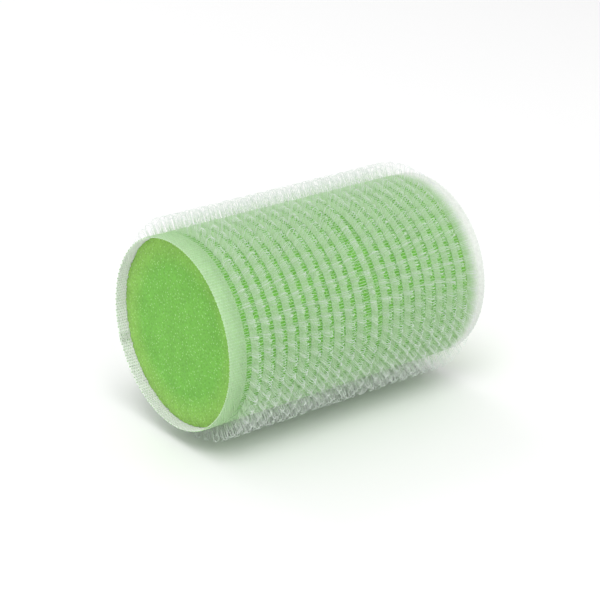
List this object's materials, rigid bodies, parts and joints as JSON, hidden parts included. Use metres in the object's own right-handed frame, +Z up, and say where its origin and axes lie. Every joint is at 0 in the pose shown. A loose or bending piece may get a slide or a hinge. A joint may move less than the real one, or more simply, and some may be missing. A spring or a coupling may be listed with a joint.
{
  "type": "hair roller",
  "caption": "Self-grip hair roller: a woven hook tape closed into a tube around a soft foam core, with rows of small filament hooks all round.",
  "frame": {"origin": "centre of the roller, on its axis, halfway along its length", "axes": "+X along the roller's axis, from the near rim to the far rim; +Z up, with the roller lying on its side; the tape's weld is on the +Y side"},
  "size_m": [0.06, 0.042, 0.042],
  "materials": {
    "green_foam": "open-cell foam, matte, apple green",
    "tape_weave": "translucent white woven nylon, satin",
    "weft_nylon": "clear white nylon yarn, satin",
    "hook_filament": "clear white nylon monofilament, glossy",
    "fused_nylon": "welded nylon, milky, matte"
  },
  "bodies": {
    "root": {"foam_core": "green_foam", "selvage_near": "tape_weave", "selvage_far": "tape_weave", "weft_yarns": "weft_nylon", "seam_weld": "fused_nylon", "warp_band_01": "tape_weave", "warp_band_02": "tape_weave", "warp_band_03": "tape_weave", "warp_band_04": "tape_weave", "warp_band_05": "tape_weave", "warp_band_06": "tape_weave", "warp_band_07": "tape_weave", "warp_band_08": "tape_weave", "warp_band_09": "tape_weave", "warp_band_10": "tape_weave", "warp_band_11": "tape_weave", "warp_band_12": "tape_weave", "warp_band_13": "tape_weave", "warp_band_14": "tape_weave", "warp_band_15": "tape_weave", "warp_band_16": "tape_weave", "warp_band_17": "tape_weave", "warp_band_18": "tape_weave", "warp_band_19": "tape_weave", "hook_row_01": "hook_filament", "hook_row_02": "hook_filament", "hook_row_03": "hook_filament", "hook_row_04": "hook_filament", "hook_row_05": "hook_filament", "hook_row_06": "hook_filament", "hook_row_07": "hook_filament", "hook_row_08": "hook_filament", "hook_row_09": "hook_filament", "hook_row_10": "hook_filament", "hook_row_11": "hook_filament", "hook_row_12": "hook_filament", "hook_row_13": "hook_filament", "hook_row_14": "hook_filament", "hook_row_15": "hook_filament", "hook_row_16": "hook_filament", "hook_row_17": "hook_filament", "hook_row_18": "hook_filament", "hook_row_19": "hook_filament", "hook_row_20": "hook_filament"}
  },
  "joints": []
}
